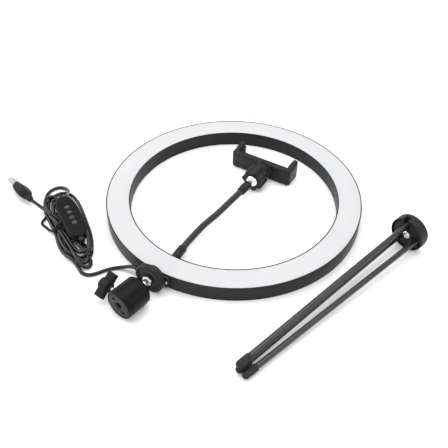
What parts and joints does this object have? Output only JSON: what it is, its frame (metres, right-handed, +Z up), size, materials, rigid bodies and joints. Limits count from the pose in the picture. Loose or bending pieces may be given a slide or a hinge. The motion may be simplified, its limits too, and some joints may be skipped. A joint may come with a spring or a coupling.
{
  "type": "ring light with phone holder and table tripod",
  "caption": "Ring light on its back with a ball head, a gooseneck phone clamp inside the ring, a USB cord with an inline controller in a tied hank, and a folded table tripod",
  "frame": {"origin": "middle of the object's footprint, cord left out, on the surface it lies on", "axes": "+Z up out of the front of the ring, which lies on its back; -Y towards the ball head at the ring's foot; +X towards the folded tripod"},
  "size_m": [0.4033, 0.3128, 0.0361],
  "materials": {
    "satin_black_plastic": "satin",
    "matte_black_plastic": "matte",
    "black_rubber": "matte",
    "black_painted_metal": "satin",
    "chrome": "polished",
    "bright_steel": "satin",
    "brass": "satin",
    "nylon": "satin",
    "opal_diffuser": "frosted",
    "white_circuit_board": "satin",
    "green_circuit_board": "satin"
  },
  "bodies": {
    "light": {"ring_frame": "satin_black_plastic", "diffuser": "opal_diffuser", "led_board": "white_circuit_board", "back_cover": "matte_black_plastic", "driver_board": "green_circuit_board", "back_screw_1": "bright_steel", "back_screw_2": "bright_steel", "back_screw_3": "bright_steel", "back_screw_4": "bright_steel", "mount_block": "satin_black_plastic", "threaded_insert": "brass", "bracket_screw_left": "bright_steel", "bracket_screw_right": "bright_steel", "root_ferrule": "satin_black_plastic", "cord_gland": "black_rubber", "cord_to_hank": "matte_black_plastic", "cord_hank": "matte_black_plastic", "cord_to_plug": "matte_black_plastic", "twist_tie": "matte_black_plastic", "controller_base": "satin_black_plastic", "controller_cover": "satin_black_plastic", "plug_shell": "bright_steel", "plug_body": "matte_black_plastic"},
    "platform": {"platform_disc": "satin_black_plastic", "ball_stud": "chrome"},
    "ball_pad": {"ball_pad": "nylon"},
    "ball_head": {"head_housing": "satin_black_plastic", "base_plate": "satin_black_plastic", "base_screw_1": "black_painted_metal", "base_screw_2": "black_painted_metal"},
    "clamp_knob": {"knob": "matte_black_plastic", "clamp_screw": "bright_steel"},
    "neck_1": {"neck_link_1": "matte_black_plastic"},
    "neck_2": {"neck_link_2": "matte_black_plastic"},
    "neck_3": {"neck_link_3": "matte_black_plastic"},
    "neck_tip": {"tip_ferrule": "satin_black_plastic", "tip_ball": "chrome"},
    "holder_seat": {"socket_liner": "nylon"},
    "holder": {"clamp_body": "satin_black_plastic", "fixed_pad": "black_rubber", "jaw_spring": "bright_steel"},
    "lock_collar": {"lock_collar": "satin_black_plastic"},
    "jaw": {"sliding_jaw": "satin_black_plastic", "jaw_pad": "black_rubber"},
    "key_1": {"button_1": "black_rubber"},
    "key_2": {"button_2": "black_rubber"},
    "key_3": {"button_3": "black_rubber"},
    "key_4": {"button_4": "black_rubber"},
    "tripod": {"hub_cap": "satin_black_plastic", "hub_flange": "satin_black_plastic", "centre_bolt": "chrome", "leg_pin_1": "bright_steel", "leg_pin_2": "bright_steel", "leg_pin_3": "bright_steel"},
    "leg_1": {"leg_1_tube": "black_painted_metal", "foot_1": "black_rubber"},
    "leg_2": {"leg_2_tube": "black_painted_metal", "foot_2": "black_rubber"},
    "leg_3": {"leg_3_tube": "black_painted_metal", "foot_3": "black_rubber"}
  },
  "joints": [
    {"name": "platform_turn", "type": "hinge", "parent": "light", "child": "platform", "pos_m": [-0.0304, -0.1107, 0.015], "axis": [0, -1, 0], "range_deg": [-180, 180]},
    {"name": "ball_swivel", "type": "hinge", "parent": "platform", "child": "ball_pad", "pos_m": [-0.0304, -0.1338, 0.015], "axis": [0, -1, 0], "range_deg": [-180, 180]},
    {"name": "ball_tilt", "type": "hinge", "parent": "ball_pad", "child": "ball_head", "pos_m": [-0.0304, -0.1338, 0.015], "axis": [0.4966, -0.0583, 0.866], "range_deg": [-25, 80]},
    {"name": "knob_turn", "type": "hinge", "parent": "ball_head", "child": "clamp_knob", "pos_m": [-0.03178, -0.14552, 0.015], "axis": [-0.9932, 0.1167, 0], "range_deg": [-180, 180]},
    {"name": "neck_lift_root", "type": "hinge", "parent": "light", "child": "neck_1", "pos_m": [-0.0334, -0.0482, 0.0083], "axis": [1, 0, 0], "range_deg": [-30, 30]},
    {"name": "neck_swing_lower", "type": "hinge", "parent": "neck_1", "child": "neck_2", "pos_m": [-0.0337, -0.0252, 0.0087], "axis": [0, 0, 1], "range_deg": [-12, 12]},
    {"name": "neck_lift_middle", "type": "hinge", "parent": "neck_2", "child": "neck_3", "pos_m": [-0.0314, -0.0022, 0.0095], "axis": [1, 0, 0], "range_deg": [-30, 30]},
    {"name": "neck_swing_upper", "type": "hinge", "parent": "neck_3", "child": "neck_tip", "pos_m": [-0.03, 0.0208, 0.011], "axis": [0, 0, 1], "range_deg": [-15, 15]},
    {"name": "holder_tilt", "type": "hinge", "parent": "neck_tip", "child": "holder_seat", "pos_m": [-0.0281, 0.0599, 0.0125], "axis": [0.999, 0.0443, 0], "range_deg": [-30, 30]},
    {"name": "holder_swivel", "type": "hinge", "parent": "holder_seat", "child": "holder", "pos_m": [-0.0281, 0.0599, 0.0125], "axis": [-0.0443, 0.999, 0], "range_deg": [-180, 180]},
    {"name": "collar_turn", "type": "hinge", "parent": "holder", "child": "lock_collar", "pos_m": [-0.0281, 0.0599, 0.0125], "axis": [-0.0443, 0.999, 0], "range_deg": [-90, 90]},
    {"name": "jaw_slide", "type": "slide", "parent": "holder", "child": "jaw", "axis": [-0.999, -0.0443, 0], "range_m": [0, 0.027], "stiffness_N_per_m": 60, "springref_m": -0.015},
    {"name": "key_press_1", "type": "slide", "parent": "light", "child": "key_1", "axis": [0, 0, -1], "range_m": [0, 0.0008], "stiffness_N_per_m": 300, "springref_m": -0.0004},
    {"name": "key_press_2", "type": "slide", "parent": "light", "child": "key_2", "axis": [0, 0, -1], "range_m": [0, 0.0008], "stiffness_N_per_m": 300, "springref_m": -0.0004},
    {"name": "key_press_3", "type": "slide", "parent": "light", "child": "key_3", "axis": [0, 0, -1], "range_m": [0, 0.0008], "stiffness_N_per_m": 300, "springref_m": -0.0004},
    {"name": "key_press_4", "type": "slide", "parent": "light", "child": "key_4", "axis": [0, 0, -1], "range_m": [0, 0.0008], "stiffness_N_per_m": 300, "springref_m": -0.0004},
    {"name": "tripod_lift", "type": "slide", "parent": "light", "child": "tripod", "axis": [0, 0, 1], "range_m": [0, 0.15]},
    {"name": "leg_spread_1", "type": "hinge", "parent": "tripod", "child": "leg_1", "pos_m": [0.13878, 0.06884, 0.02803], "axis": [-0.9392, 0.2473, -0.2382], "range_deg": [0, 60]},
    {"name": "leg_spread_2", "type": "hinge", "parent": "tripod", "child": "leg_2", "pos_m": [0.13413, 0.07096, 0.01075], "axis": [0.6809, -0.1301, -0.7207], "range_deg": [0, 60]},
    {"name": "leg_spread_3", "type": "hinge", "parent": "tripod", "child": "leg_3", "pos_m": [0.15105, 0.0665, 0.01504], "axis": [0.2583, -0.1172, 0.9589], "range_deg": [0, 60]}
  ]
}
